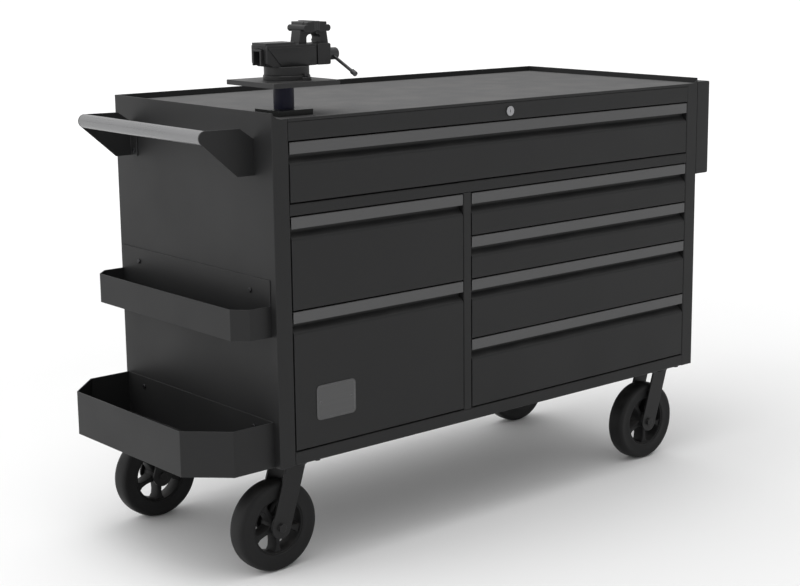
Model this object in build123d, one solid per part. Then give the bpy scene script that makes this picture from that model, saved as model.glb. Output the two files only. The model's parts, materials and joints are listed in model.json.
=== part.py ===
"""Rolling tool chest: a sheet-metal drawer cabinet on four swivel casters.

It carries a push handle and two open trays on its left side, a shallow lidded box on its
right side, and a bench vise on a short pedestal at the front left corner of the worktop.
Units are millimetres, +Z is up and the drawers open towards -Y.  While it is being built
the model is measured from the cabinet's left side (x), its front face (y) and the floor (z).
It is then moved so that the origin is on the floor, under the middle of its outer box.
"""
from build123d import *
import math
import os

# ---------------------------------------------------------------- cabinet
CABINET_WIDTH = 1321.0
CABINET_DEPTH = 612.0
CABINET_HEIGHT = 726.0          # bottom edge to the top of the header rail
LIP_HEIGHT = 19.0               # worktop lips above the header rail
SKIN = 1.5                      # outer sheet
LINING = 1.2                    # inner sheet
BEND = 1.5                      # inside radius of a folded edge
FACE_RETURN = 22.0              # how far rails and stiles fold back from the front
STILE_WIDTH = 40.0
DIVIDER_WIDTH = 23.0
HEADER_HEIGHT = 40.0
MID_RAIL_HEIGHT = 24.5
BOTTOM_RAIL_HEIGHT = 28.5
TOP_OPENING = 130.0             # clear height behind the full-width drawer
LEFT_BANK_WIDTH = 478.0         # clear width of the two drawers on the left
REAR_FLANGE = 20.0
BACK_RECESS = 1.5               # the back panel sits this far inside the rear flanges
INNER_REAR_GAP = 25.0           # liners and divider stop this far short of the rear
CORNER_SWEEP = 25.0             # width of the curved step from the side lips to the front hem
CUT_MARGIN = 1.0                # cutting shapes reach this far past what they cut

# ---------------------------------------------------------------- worktop
TRAY_SHEET = 2.0
FRONT_HEM = 6.0
HEM_ROUND = 0.9
MAT_THICKNESS = 4.0
MAT_MARGIN = 1.0

# ---------------------------------------------------------------- drawers
FRONT_GAP = 2.5                 # round and between the drawer fronts
FRONT_DEPTH = 18.0              # thickness of a drawer's folded front
PULL_BEND = 1.5                 # radii of the pull's long edges
PULL_INSIDE_BEND = 0.5
LEFT_UPPER_FRONT = 196.5        # heights of the fronts that set the drawer grid
RIGHT_FRONTS = (97.0, 97.0, 137.0)
RECESS_DROP = 46.0              # from a front's top edge to where its finger recess starts
RECESS_DEPTH = 15.0
RECESS_SLOPE = 13.0
RECESS_ROUND = 9.0
PULL_HEIGHT = 25.0
PULL_WALL = 2.0
PULL_LIP = 6.0
SLIDE_SPACE = 13.0              # beside each drawer box
SLIDE_HEIGHT = 38.0
SLIDE_WALL = 1.2
SLIDE_SETBACK = 24.0            # slides start this far behind the front face
SLIDE_REAR_GAP = 45.0           # and end this far short of the back panel
SLIDE_RAISE = 22.0              # slide centre above the drawer floor
SLIDE_BALL_GAP = 1.6            # between the flanges of nested slide members
SLIDE_WEB_GAP = 1.0             # between their webs
DRAWER_REAR_GAP = 46.0          # drawer boxes end this far short of the back panel
DRAWER_BOX_DROP = 34.0          # top of the drawer box below the front's top edge
DRAWER_FLOOR_RISE = 6.0
DRAWER_HEM = 4.0

# ---------------------------------------------------------------- lock
LOCK_RADIUS = 8.0
LOCK_BEZEL_RADIUS = 11.0
LOCK_BEZEL = 2.5
LOCK_LENGTH = 22.0
LOCK_CAM_REACH = 14.0           # cam's tip above the barrel's axis
LOCK_CAM_HALF = 5.0
LOCK_CAM_THICKNESS = 3.0
KEY_SLOT_WIDTH = 2.0
KEY_SLOT_LENGTH = 8.0
KEY_SLOT_DEPTH = 4.5
LOCK_FIT = 0.1
LOCK_BEZEL_GAP = 0.3            # between the bezel and the header rail

# ---------------------------------------------------------------- casters
WHEEL_RADIUS = 100.0
WHEEL_WIDTH = 46.0
TYRE_DEPTH = 28.0
RIM_DEPTH = 12.0
HUB_RADIUS = 19.0
SPOKE_COUNT = 5
SPOKE_THICKNESS = 6.0
SPOKE_WIDTH = 34.0
AXLE_RADIUS = 6.0
CASTER_INSET_X = 73.0           # swivel axis from the cabinet's sides
CASTER_INSET_Y = 69.0           # swivel axis from the cabinet's front and rear
CASTER_TRAIL = 48.0
WHEEL_HEADROOM = 27.9           # between a wheel and its fork's crown
TYRE_ROUND = 5.0
RIM_INSET = 2.0                 # rim's side faces inside the tyre's
SPOKE_START = 18.0              # degrees
PLATE_LENGTH = 114.0            # mounting plate, along x
PLATE_WIDTH = 102.0             # mounting plate, along y
PLATE_THICKNESS = 5.0
PLATE_CORNER = 8.0
RACE_RADIUS = 37.0
RACE_HEIGHT = 3.5
RACE_GAP = 0.6                  # between the plate's race and the fork
KINGPIN_RADIUS = 8.0
KINGPIN_FIT = 0.05
KINGPIN_HEAD = 13.0
KINGPIN_HEAD_HEIGHT = 6.0
FORK_THICKNESS = 5.0
FORK_CROWN = 7.0
FORK_TOP_AHEAD = 19.0           # leg's top reaches ahead of the swivel axis
FORK_TOP_BEHIND = 31.0          # and behind it, towards the wheel
FORK_SHOULDER = 2.0             # leg's top below the fork's race
FORK_END_RADIUS = 24.0
FORK_CLEARANCE = 4.0            # between a wheel's side and a fork leg
HUB_SIDE_GAP = 0.4              # between the hub and a fork leg
AXLE_FIT = 0.05
AXLE_HOLE_GAP = 0.25
AXLE_HEAD = 5.0
AXLE_NUT = 7.0
AXLE_HEX = 10.5
CASTER_BOLT_RADIUS = 4.5
CASTER_HEX = 8.0
CASTER_HEX_HEIGHT = 6.0
BOLT_CLEARANCE = 0.3
BOLT_PITCH_X = 88.0
BOLT_PITCH_Y = 76.0

# ---------------------------------------------------------------- handle and brackets
HANDLE_RADIUS = 15.0
HANDLE_WALL = 2.0
HANDLE_REACH = 116.0            # tube axis from the cabinet's side
HANDLE_DROP = 27.5              # tube axis below the top of the header rail
BRACKET_SHEET = 3.0
BRACKET_INSET = 66.0            # outer faces from the cabinet's front and rear
BRACKET_TOP_DROP = 14.0         # bracket levels below the top of the header rail
BRACKET_SHOULDER_DROP = 37.0
BRACKET_BOTTOM_DROP = 112.0
BRACKET_FOOT = 41.0
BRACKET_SHOULDER_REACH = 33.0
BRACKET_FLANGE = 28.0
BRACKET_BOLT_RISE = 12.0        # bolts from the flange's ends
SCREW_RADIUS = 3.0
SCREW_HEAD = 5.5
SCREW_HEAD_HEIGHT = 3.2
SCREW_HEAD_ROUND = 1.9

# ---------------------------------------------------------------- side trays
SIDE_TRAY_INSET = 20.0          # front end of both trays from the cabinet's front
SIDE_TRAY_REAR_INSET = 12.0     # and rear end from its rear
SIDE_TRAY_SHEET = 2.0
# reach from the cabinet, clipped corner, and levels above the cabinet's bottom edge
UPPER_TRAY = dict(reach=82.0, corner=29.0, rim=347.0, floor=281.0, back=401.0, screws=371.0)
LOWER_TRAY = dict(reach=181.0, corner=79.0, rim=98.5, floor=0.0, back=98.5, screws=76.0)
TRAY_SCREW_INSET = 70.0

# ---------------------------------------------------------------- side box
BOX_THICKNESS = 45.0
BOX_DROP = 10.0                 # its top below the worktop lips
BOX_HEIGHT = 235.0
BOX_DEPTH = 460.0
BOX_CORNER = 5.0
LID_SHEET = 1.5
LID_PIN_RADIUS = 1.2
LID_BARREL_RADIUS = 2.6
LID_WALL_GAP = 0.5              # between the lid's barrel and the box's inner wall
LID_SEAT_GAP = 0.3
LID_EDGE_ROUND = 1.3
LID_NOTCH = 3.2                 # hinge side of the lid, cut short to swing between the end walls

# ---------------------------------------------------------------- vise pedestal
PEDESTAL_X = 89.0
PEDESTAL_Y = 80.5
FLANGE_SIDE = 86.0
FLANGE_THICKNESS = 12.0
POST_RADIUS = 21.5
POST_WALL = 4.0
POST_HEIGHT = 50.0
TOP_PLATE_SIDE = 167.0
TOP_PLATE_THICKNESS = 10.0

# ---------------------------------------------------------------- bench vise
VISE_OFFSET = 9.0              # swivel axis from the post's axis, towards the spindle
SWIVEL_RADIUS = 49.0
SWIVEL_HEIGHT = 10.0
SWIVEL_ROUND = 2.0
SWIVEL_PIN = 12.0
SWIVEL_PIN_RISE = 8.0           # pin above the swivel base
SWIVEL_FIT = 0.08
LUG_RADIUS = 11.0
LUG_AHEAD = 12.0                # lugs ahead of the swivel axis
LUG_OUT = 51.0                  # and beside it
LUG_HEIGHT = 7.0
TURN_GAP = 0.4                  # between the turntable and its base
TURNTABLE_RADIUS = 47.0
BODY_WIDTH = 54.0
BODY_REAR = 67.5                # behind the swivel axis
BODY_CHAMFER_LENGTH = 16.0      # cut off the body's lower rear edge
BODY_CHAMFER_RISE = 8.0
BODY_ROUND = 2.0
NOSE_GAP = 2.0                  # body and moving jaw each stop this far short of the jaw faces
BODY_BOTTOM = 28.0              # body heights above the pedestal's plate
BODY_TOP = 72.0
ANVIL_LENGTH = 77.0
ANVIL_WIDTH = 52.0
ANVIL_RISE = 5.0                # above the body
ANVIL_SEAT = 2.0                # and into it
ANVIL_OVERHANG = 1.0            # past the body's rear end
ANVIL_CORNER = 4.0
BAR_WIDTH = 30.0
BAR_HEIGHT = 33.0
BAR_WALL = 4.0
BAR_ROOF = 4.0
BAR_END_WALL = 12.0             # solid end of the slide bar
NUT_GAP = 0.5                   # between the nut and the inside of the slide bar
NUT_INSET = 88.0                # nut's rear end from the body's
NUT_LENGTH = 32.0
NUT_ROOT = 3.0                  # nut's foot below the bar passage
NUT_SPREAD = 2.0                # and beside it
BAR_TAIL = 7.0                 # sticks out behind the body when the jaws are closed
BAR_FIT = 0.35
JAW_MEET = 60.0                 # closed jaw faces ahead of the swivel axis
JAW_TOP = 117.0
JAW_WIDTH = 58.0
JAW_DEPTH = 26.0
JAW_HEIGHT = 20.0
JAW_ARM_WIDTH = 30.0
JAW_ARM_DEPTH = 16.0
JAW_THROAT = 18.0               # half the throat gap between the closed arms
JAW_NECK = 6.0                  # jaw heads reach this far down between the arms
JAW_ROUND = 4.0
ARM_ROUND = 8.0
ARM_HEEL = 6.0                  # arm's foot past its upper part
ARM_ROOT = 12.0                 # arm's foot sunk into the body
ARM_LAND = 10.0                 # moving arm's foot towards the jaw faces
FRONT_LAND = 1.0                # moving jaw's front block past its arm
JAW_BOSS_RADIUS = 7.0           # rounded boss along the back of each jaw head
JAW_BOSS_OUT = 27.5             # boss axis from the closed jaw faces
JAW_BOSS_DROP = 13.0            # and below the jaws' top
INSERT_THICKNESS = 6.0
INSERT_HEIGHT = 18.0
INSERT_GAP = 0.4                # between the inserts when the vise is closed
INSERT_PROUD = 1.5              # inserts above the jaw heads
SPINDLE_RADIUS = 7.5
SPINDLE_FIT = 0.08
SPINDLE_TAIL = 6.0              # screw's end inside the body's rear end
SPINDLE_HEAD_RADIUS = 13.0
SPINDLE_HEAD_LENGTH = 30.0
SPINDLE_HEAD_ROUND = 4.0
COLLAR_GAP = 0.4                # between the spindle's head and the moving jaw
SPINDLE_RISE = 48.0
VISE_BAR_RADIUS = 3.5
VISE_BAR_LENGTH = 160.0
VISE_BAR_SHIFT = 13.0           # rest position, towards the front
VISE_BAR_TILT = 25.0            # degrees below level
VISE_BAR_KNOB = 5.5
VISE_BAR_KNOB_LENGTH = 14.0
VISE_BAR_KNOB_ROUND = 1.5
BAR_HOLE_GAP = 0.08

# ---------------------------------------------------------------- levels that follow
CROWN_Z = 2 * WHEEL_RADIUS + WHEEL_HEADROOM + FORK_CROWN
BASE_Z = CROWN_Z + RACE_GAP + RACE_HEIGHT + PLATE_THICKNESS
LEG_INNER = WHEEL_WIDTH / 2 + FORK_CLEARANCE
LEG_OUTER = LEG_INNER + FORK_THICKNESS
DECK_Z = BASE_Z + CABINET_HEIGHT
LIP_Z = DECK_Z + LIP_HEIGHT
HEM_Z = DECK_Z + FRONT_HEM
MAT_Z = DECK_Z + TRAY_SHEET + MAT_THICKNESS
HEADER_Z = DECK_Z - HEADER_HEIGHT
BOTTOM_RAIL_Z = BASE_Z + BOTTOM_RAIL_HEIGHT
LINER_FACE = STILE_WIDTH
INSIDE_REAR = CABINET_DEPTH - BACK_RECESS - SKIN
BASE_TOP = BASE_Z + TRAY_SHEET
MID_RAIL_Z = HEADER_Z - TOP_OPENING - MID_RAIL_HEIGHT
DIVIDER_X = LINER_FACE + LEFT_BANK_WIDTH
VISE_X = PEDESTAL_X + VISE_OFFSET
PLATE_Z = MAT_Z + FLANGE_THICKNESS + POST_HEIGHT + TOP_PLATE_THICKNESS
SPINDLE_Z = PLATE_Z + SPINDLE_RISE
BODY_LOW = PLATE_Z + BODY_BOTTOM
BODY_HIGH = PLATE_Z + BODY_TOP
JAW_HIGH = PLATE_Z + JAW_TOP
JAW_LOW = JAW_HIGH - JAW_HEIGHT
MEET_X = VISE_X + JAW_MEET
BODY_TAIL_X = VISE_X - BODY_REAR
JAW_FRONT_X = MEET_X + JAW_THROAT + JAW_ARM_DEPTH + ARM_HEEL


# ---------------------------------------------------------------- shape helpers
def block(x0, x1, y0, y1, z0, z1):
    """A box between two opposite corners."""
    centre = Pos((x0 + x1) / 2, (y0 + y1) / 2, (z0 + z1) / 2)
    return centre * Box(x1 - x0, y1 - y0, z1 - z0)


def rod(start, direction, radius, length):
    """A cylinder that starts at a point and runs along a direction."""
    plane = Plane(origin=start, z_dir=direction)
    return extrude(plane * Circle(radius), amount=length)


def plan_prism(points, radii, z0, z1):
    """An outline in plan with rounded corners, extruded upwards."""
    outline = make_face(FilletPolyline(*points, radius=radii, close=True))
    return Pos(0, 0, z0) * extrude(outline, amount=z1 - z0)


def side_prism(points, radii, y0, y1):
    """An outline in x and z with rounded corners, extruded from y0 to y1."""
    flat = FilletPolyline(*points, radius=radii, close=True)
    plane = Plane(origin=(0, y0, 0), x_dir=(1, 0, 0), z_dir=(0, -1, 0))
    return extrude(plane * make_face(flat), amount=y0 - y1)


def end_prism(points, radii, x0, x1):
    """An outline in y and z with rounded corners, extruded from x0 to x1."""
    flat = FilletPolyline(*points, radius=radii, close=True)
    plane = Plane(origin=(x0, 0, 0), x_dir=(0, 1, 0), z_dir=(1, 0, 0))
    return extrude(plane * make_face(flat), amount=x1 - x0)


def folded(path, thickness, bend):
    """Closed outline and corner radii of a folded strip that lies left of its path."""
    count = len(path)
    offset = []
    turns = []
    for i, (x, y) in enumerate(path):
        before = path[max(i - 1, 0)]
        after = path[min(i + 1, count - 1)]
        a = unit(before, (x, y)) if i else unit((x, y), after)
        b = unit((x, y), after) if i < count - 1 else a
        share = thickness / (1 + a[0] * b[0] + a[1] * b[1])
        offset.append((x - (a[1] + b[1]) * share, y + (a[0] + b[0]) * share))
        turns.append(a[0] * b[1] - a[1] * b[0])
    outer = [0 if abs(t) < 1e-6 else bend + (thickness if t > 0 else 0) for t in turns]
    inner = [0 if abs(t) < 1e-6 else bend + (thickness if t < 0 else 0) for t in turns]
    return path + offset[::-1], outer + inner[::-1]


def unit(a, b):
    """Unit vector from one plan point to another."""
    length = math.dist(a, b)
    return ((b[0] - a[0]) / length, (b[1] - a[1]) / length)


def mirrored(shape, middle):
    """The shape reflected left to right about x = middle."""
    return mirror(shape, about=Plane(origin=(middle, 0, 0), z_dir=(1, 0, 0)))


def group(shapes):
    """Separate solids that share one node."""
    solids = [solid for shape in shapes for solid in shape.solids()]
    return Compound(children=solids)


# ---------------------------------------------------------------- drawer grid
def drawer_layout():
    """Name to (left, right, bottom, top) of every drawer front."""
    right_edge = CABINET_WIDTH - STILE_WIDTH
    bank_edge = DIVIDER_X + DIVIDER_WIDTH
    low = BOTTOM_RAIL_Z + FRONT_GAP
    high = MID_RAIL_Z - FRONT_GAP
    top_low = MID_RAIL_Z + MID_RAIL_HEIGHT + FRONT_GAP
    split = high - LEFT_UPPER_FRONT
    layout = {
        "top": (LINER_FACE, right_edge, top_low, HEADER_Z - FRONT_GAP),
        "left_upper": (LINER_FACE, DIVIDER_X, split, high),
        "left_lower": (LINER_FACE, DIVIDER_X, low, split - FRONT_GAP),
    }
    top = high
    for number, height in enumerate(RIGHT_FRONTS, start=1):
        layout[f"right_{number}"] = (bank_edge, right_edge, top - height, top)
        top -= height + FRONT_GAP
    layout[f"right_{len(RIGHT_FRONTS) + 1}"] = (bank_edge, right_edge, low, top)
    return layout


# ---------------------------------------------------------------- cabinet shell
def side_panel():
    """Left side skin with its front stile, its returns and its curved front corner."""
    path = [
        (REAR_FLANGE, CABINET_DEPTH),
        (0, CABINET_DEPTH),
        (0, 0),
        (STILE_WIDTH, 0),
        (STILE_WIDTH, FACE_RETURN),
    ]
    points, radii = folded(path, SKIN, BEND)
    panel = plan_prism(points, radii, BASE_Z, LIP_Z)
    beyond = STILE_WIDTH + CUT_MARGIN
    rear = CABINET_DEPTH + CUT_MARGIN
    above = LIP_Z + CUT_MARGIN
    return_tops = block(SKIN, beyond, SKIN, FACE_RETURN + CUT_MARGIN, DECK_Z, above)
    flange_top = block(SKIN, beyond, INSIDE_REAR, rear, DECK_Z, above)
    return panel - [corner_sweep(), return_tops, flange_top]


def corner_sweep():
    """What is cut away above the curved step at the stile's top."""
    above = LIP_Z + CUT_MARGIN
    beyond = STILE_WIDTH + SKIN
    outline = make_face([
        Line((SKIN, LIP_Z), (SKIN, above)),
        Line((SKIN, above), (beyond, above)),
        Line((beyond, above), (beyond, HEM_Z)),
        Line((beyond, HEM_Z), (CORNER_SWEEP, HEM_Z)),
        Spline((CORNER_SWEEP, HEM_Z), (SKIN, LIP_Z), tangents=((-1, 0.05), (-0.35, 1))),
    ])
    plane = Plane(origin=(0, -CUT_MARGIN, 0), x_dir=(1, 0, 0), z_dir=(0, -1, 0))
    return extrude(plane * outline, amount=-FACE_RETURN - 2 * CUT_MARGIN)


def side_liners():
    """Inner walls that carry the drawer slides, one each side."""
    rear = INSIDE_REAR - INNER_REAR_GAP
    path = [(LINER_FACE, FACE_RETURN), (LINER_FACE, rear), (SKIN, rear)]
    points, radii = folded(path, LINING, BEND)
    left = plan_prism(points, radii, BASE_TOP, DECK_Z)
    return group([left, mirrored(left, CABINET_WIDTH / 2)])


def back_panel():
    """Flat rear sheet inside the side panels' rear flanges."""
    side = SKIN + BEND
    return block(side, CABINET_WIDTH - side, INSIDE_REAR, INSIDE_REAR + SKIN, BASE_Z, LIP_Z)


def base_pan():
    """Floor of the cabinet, drilled for the caster bolts."""
    pan = block(SKIN, CABINET_WIDTH - SKIN, FACE_RETURN, INSIDE_REAR, BASE_Z, BASE_TOP)
    radius = CASTER_BOLT_RADIUS + BOLT_CLEARANCE
    low = BASE_Z - CUT_MARGIN
    length = TRAY_SHEET + 2 * CUT_MARGIN
    holes = [rod((x, y, low), (0, 0, 1), radius, length) for x, y in caster_bolt_places()]
    return pan - holes


def rail(z0, z1, x0, x1):
    """Channel-shaped front rail, open to the rear."""
    path = [(FACE_RETURN, z1), (0, z1), (0, z0), (FACE_RETURN, z0)]
    points, radii = folded(path, SKIN, BEND)
    return end_prism(points, radii, x0, x1)


def header_rail():
    """Top rail with the hole for the lock."""
    bar = rail(HEADER_Z, DECK_Z, LINER_FACE, CABINET_WIDTH - STILE_WIDTH)
    start = (lock_x(), -CUT_MARGIN, lock_z())
    return bar - rod(start, (0, 1, 0), LOCK_RADIUS + LOCK_FIT, SKIN + 2 * CUT_MARGIN)


def centre_divider():
    """Hollow upright between the two drawer banks; it reaches the floor behind the rail."""
    rear = INSIDE_REAR - INNER_REAR_GAP
    left = DIVIDER_X
    right = DIVIDER_X + DIVIDER_WIDTH
    path = [(left, rear), (left, 0), (right, 0), (right, rear)]
    points, radii = folded(path, LINING, BEND)
    upright = plan_prism(points, radii, BASE_TOP, MID_RAIL_Z)
    over = CUT_MARGIN
    return upright - block(left - over, right + over, -over, FACE_RETURN, BASE_Z, BOTTOM_RAIL_Z)


# ---------------------------------------------------------------- worktop
def worktop_tray():
    """Pressed top with lips on three sides and a low hem along the front."""
    left = SKIN
    right = CABINET_WIDTH - SKIN
    rear = INSIDE_REAR
    floor = block(left, right, SKIN, rear, DECK_Z, DECK_Z + TRAY_SHEET)
    hem = block(STILE_WIDTH, CABINET_WIDTH - STILE_WIDTH, 0, SKIN, DECK_Z, HEM_Z)
    top_edges = hem.edges().filter_by(Axis.X).group_by(Axis.Z)[-1]
    hem = fillet(top_edges.sort_by(Axis.Y)[0], HEM_ROUND)
    lips = [
        block(left, left + TRAY_SHEET, SKIN, rear, DECK_Z, LIP_Z),
        block(right - TRAY_SHEET, right, SKIN, rear, DECK_Z, LIP_Z),
        block(left, right, rear - TRAY_SHEET, rear, DECK_Z, LIP_Z),
    ]
    return floor + hem + lips


def worktop_mat():
    """Rubber mat laid in the worktop."""
    side = SKIN + TRAY_SHEET + MAT_MARGIN
    x1 = CABINET_WIDTH - side
    y1 = INSIDE_REAR - TRAY_SHEET - MAT_MARGIN
    low = DECK_Z + TRAY_SHEET
    return block(side, x1, SKIN + MAT_MARGIN, y1, low, low + MAT_THICKNESS)


# ---------------------------------------------------------------- drawer slides
def channel(x0, x1, height, y0, y1, zc):
    """Slide member: a web at x0 with two flanges that reach x1."""
    web = x0 + math.copysign(SLIDE_WALL, x1 - x0)
    low, high = zc - height / 2, zc + height / 2
    xs = sorted((x0, x1))
    parts = [block(*sorted((x0, web)), y0, y1, low, high)]
    parts.append(block(*xs, y0, y1, low, low + SLIDE_WALL))
    parts.append(block(*xs, y0, y1, high - SLIDE_WALL, high))
    return parts[0] + parts[1:]


def slide_heights():
    """Heights of the three nested slide members, outermost first."""
    step = 2 * (SLIDE_WALL + SLIDE_BALL_GAP)
    return [SLIDE_HEIGHT, SLIDE_HEIGHT - step, SLIDE_HEIGHT - 2 * step]


def slide_members(left, right, low):
    """Fixed, middle and drawer members of one pair of slides."""
    outer, middle, inner = slide_heights()
    zc = low + DRAWER_FLOOR_RISE + SLIDE_RAISE
    y0 = SLIDE_SETBACK
    y1 = INSIDE_REAR - SLIDE_REAR_GAP
    step = SLIDE_WALL + SLIDE_WEB_GAP
    reach = SLIDE_SPACE - step
    fixed, moving, carried = [], [], []
    for wall, inward in ((left, 1), (right, -1)):
        edge = wall + inward * SLIDE_SPACE
        fixed.append(channel(wall, wall + inward * reach, outer, y0, y1, zc))
        moving.append(channel(wall + inward * step, wall + inward * reach, middle, y0, y1, zc))
        carried.append(channel(edge, wall + inward * 2 * step, inner, y0, y1, zc))
    return fixed, moving, carried


# ---------------------------------------------------------------- drawers
def front_path(low, high):
    """Outer line of a drawer front, from under the pull over the finger recess to its bottom return."""
    recess = high - RECESS_DROP
    return [
        (RECESS_DEPTH, high - PULL_WALL),
        (RECESS_DEPTH, recess + RECESS_SLOPE),
        (0, recess),
        (0, low),
        (FRONT_DEPTH, low),
    ]


def drawer_front(left, right, low, high):
    """Folded front with a rounded finger recess under the pull, closed at both ends."""
    path = front_path(low, high)
    points, _ = folded(path, SKIN, BEND)
    hollow = RECESS_ROUND - SKIN
    radii = [0, hollow, RECESS_ROUND, BEND + SKIN, 0]
    inner_radii = [0, BEND, hollow, RECESS_ROUND, 0]
    skin = end_prism(points, radii + inner_radii, left, right)
    cap_points = path + [(FRONT_DEPTH, high - PULL_WALL)]
    ends = [end_prism(cap_points, radii + [0], x, x + LINING) for x in (left, right - LINING)]
    roof = block(left, right, RECESS_DEPTH, FRONT_DEPTH, high - PULL_WALL - SKIN, high - PULL_WALL)
    return skin + ends + roof


def drawer(left, right, low, high):
    """One drawer: folded front, open box and the two slide members fixed to it."""
    fl, fr = left + FRONT_GAP, right - FRONT_GAP
    bl, br = left + SLIDE_SPACE, right - SLIDE_SPACE
    floor = low + DRAWER_FLOOR_RISE
    top = high - DRAWER_BOX_DROP
    y0 = FRONT_DEPTH
    y1 = INSIDE_REAR - DRAWER_REAR_GAP
    box = block(bl, br, y0, y1, floor, floor + LINING)
    walls = [
        block(bl, bl + LINING, y0, y1, floor, top),
        block(br - LINING, br, y0, y1, floor, top),
        block(bl, br, y1 - LINING, y1, floor, top),
        block(bl, bl + DRAWER_HEM, y0, y1, top - LINING, top),
        block(br - DRAWER_HEM, br, y0, y1, top - LINING, top),
        block(bl, br, y1 - DRAWER_HEM, y1, top - LINING, top),
        block(fl, fr, y0, y0 + LINING, low, high - PULL_WALL),
    ]
    body = drawer_front(fl, fr, low, high) + box + walls
    carried = slide_members(left, right, low)[2]
    return group([body] + carried)


def pull(left, right, high):
    """Full-width extruded pull: a top flange, a front face and a finger lip."""
    low = high - PULL_HEIGHT
    path = [(FRONT_DEPTH, high), (0, high), (0, low), (PULL_LIP, low)]
    points, _ = folded(path, PULL_WALL, BEND)
    inside = PULL_INSIDE_BEND
    radii = [0, PULL_BEND, PULL_BEND, 0, 0, inside, inside, 0]
    return end_prism(points, radii, left + FRONT_GAP, right - FRONT_GAP)


# ---------------------------------------------------------------- lock
def lock_x():
    return CABINET_WIDTH / 2


def lock_z():
    return DECK_Z - HEADER_HEIGHT / 2


def lock_barrel():
    """Key barrel with a bezel in front of the header and a cam behind it."""
    x, z = lock_x(), lock_z()
    barrel = rod((x, -LOCK_BEZEL, z), (0, 1, 0), LOCK_RADIUS, LOCK_LENGTH + LOCK_BEZEL)
    thickness = LOCK_BEZEL - LOCK_BEZEL_GAP
    bezel = rod((x, -LOCK_BEZEL, z), (0, 1, 0), LOCK_BEZEL_RADIUS, thickness)
    half = LOCK_CAM_HALF
    cam_y = LOCK_LENGTH - LOCK_CAM_THICKNESS
    cam = block(x - half, x + half, cam_y, LOCK_LENGTH, z - half, z + LOCK_CAM_REACH)
    width, length = KEY_SLOT_WIDTH / 2, KEY_SLOT_LENGTH / 2
    front = -LOCK_BEZEL - CUT_MARGIN
    slot = block(x - width, x + width, front, KEY_SLOT_DEPTH - LOCK_BEZEL, z - length, z + length)
    return barrel + bezel + cam - slot


# ---------------------------------------------------------------- casters
def caster_places():
    """Corner name to swivel axis."""
    xs = {"left": CASTER_INSET_X, "right": CABINET_WIDTH - CASTER_INSET_X}
    ys = {"front": CASTER_INSET_Y, "rear": CABINET_DEPTH - CASTER_INSET_Y}
    return {f"{a}_{b}": (xs[b], ys[a]) for a in ys for b in xs}


def caster_bolt_places():
    """Axes of all caster bolts."""
    return [
        (x + i * BOLT_PITCH_X / 2, y + j * BOLT_PITCH_Y / 2)
        for x, y in caster_places().values()
        for i in (-1, 1)
        for j in (-1, 1)
    ]


def caster_plates():
    """Mounting plates with their upper races and kingpins."""
    return group([caster_plate(x, y) for x, y in caster_places().values()])


def caster_plate(x, y):
    """One mounting plate; its kingpin's head hangs below the fork's crown."""
    under = BASE_Z - PLATE_THICKNESS
    outline = RectangleRounded(PLATE_LENGTH, PLATE_WIDTH, PLATE_CORNER)
    plate = Pos(x, y, under) * extrude(outline, amount=PLATE_THICKNESS)
    foot = CROWN_Z - FORK_CROWN - RACE_GAP
    plate += rod((x, y, under - RACE_HEIGHT), (0, 0, 1), RACE_RADIUS, RACE_HEIGHT)
    plate += rod((x, y, foot), (0, 0, 1), KINGPIN_RADIUS, under - foot)
    plate += rod((x, y, foot - KINGPIN_HEAD_HEIGHT), (0, 0, 1), KINGPIN_HEAD, KINGPIN_HEAD_HEIGHT)
    radius = CASTER_BOLT_RADIUS + BOLT_CLEARANCE
    length = PLATE_THICKNESS + 2 * CUT_MARGIN
    for i in (-1, 1):
        for j in (-1, 1):
            start = (x + i * BOLT_PITCH_X / 2, y + j * BOLT_PITCH_Y / 2, under - CUT_MARGIN)
            plate -= rod(start, (0, 0, 1), radius, length)
    return plate


def caster_fork(x, y):
    """Fork with its lower race, two tapered legs and a separate axle bolt."""
    axle_x = x - CASTER_TRAIL
    low, high = CROWN_Z - FORK_CROWN, CROWN_Z - FORK_SHOULDER
    left, right = x - FORK_TOP_BEHIND, x + FORK_TOP_AHEAD
    fork = rod((x, y, low), (0, 0, 1), RACE_RADIUS, FORK_CROWN)
    fork += block(left, right, y - LEG_OUTER, y + LEG_OUTER, low, high)
    outline = make_hull([
        *Circle(FORK_END_RADIUS).moved(Pos(axle_x, WHEEL_RADIUS, 0)).edges(),
        Line((left, high), (right, high)),
    ])
    for y0 in (y - LEG_OUTER, y + LEG_INNER):
        plane = Plane(origin=(0, y0, 0), x_dir=(1, 0, 0), z_dir=(0, -1, 0))
        fork += extrude(plane * outline, amount=-FORK_THICKNESS)
    fork -= rod((x, y, 0), (0, 0, 1), KINGPIN_RADIUS + KINGPIN_FIT, BASE_Z)
    start = (axle_x, y - LEG_OUTER - CUT_MARGIN, WHEEL_RADIUS)
    length = 2 * (LEG_OUTER + CUT_MARGIN)
    fork -= rod(start, (0, 1, 0), AXLE_RADIUS + AXLE_HOLE_GAP, length)
    return group([fork, axle_bolt(axle_x, y)])


def axle_bolt(x, y):
    """Bolt with a hexagon head at one end and a nut at the other."""
    bolt = rod((x, y - LEG_OUTER, WHEEL_RADIUS), (0, 1, 0), AXLE_RADIUS, 2 * LEG_OUTER)
    for y0, height in ((y - LEG_OUTER - AXLE_HEAD, AXLE_HEAD), (y + LEG_OUTER, AXLE_NUT)):
        plane = Plane(origin=(x, y0, WHEEL_RADIUS), z_dir=(0, 1, 0))
        bolt += extrude(plane * RegularPolygon(AXLE_HEX, 6), amount=height)
    return bolt


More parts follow.
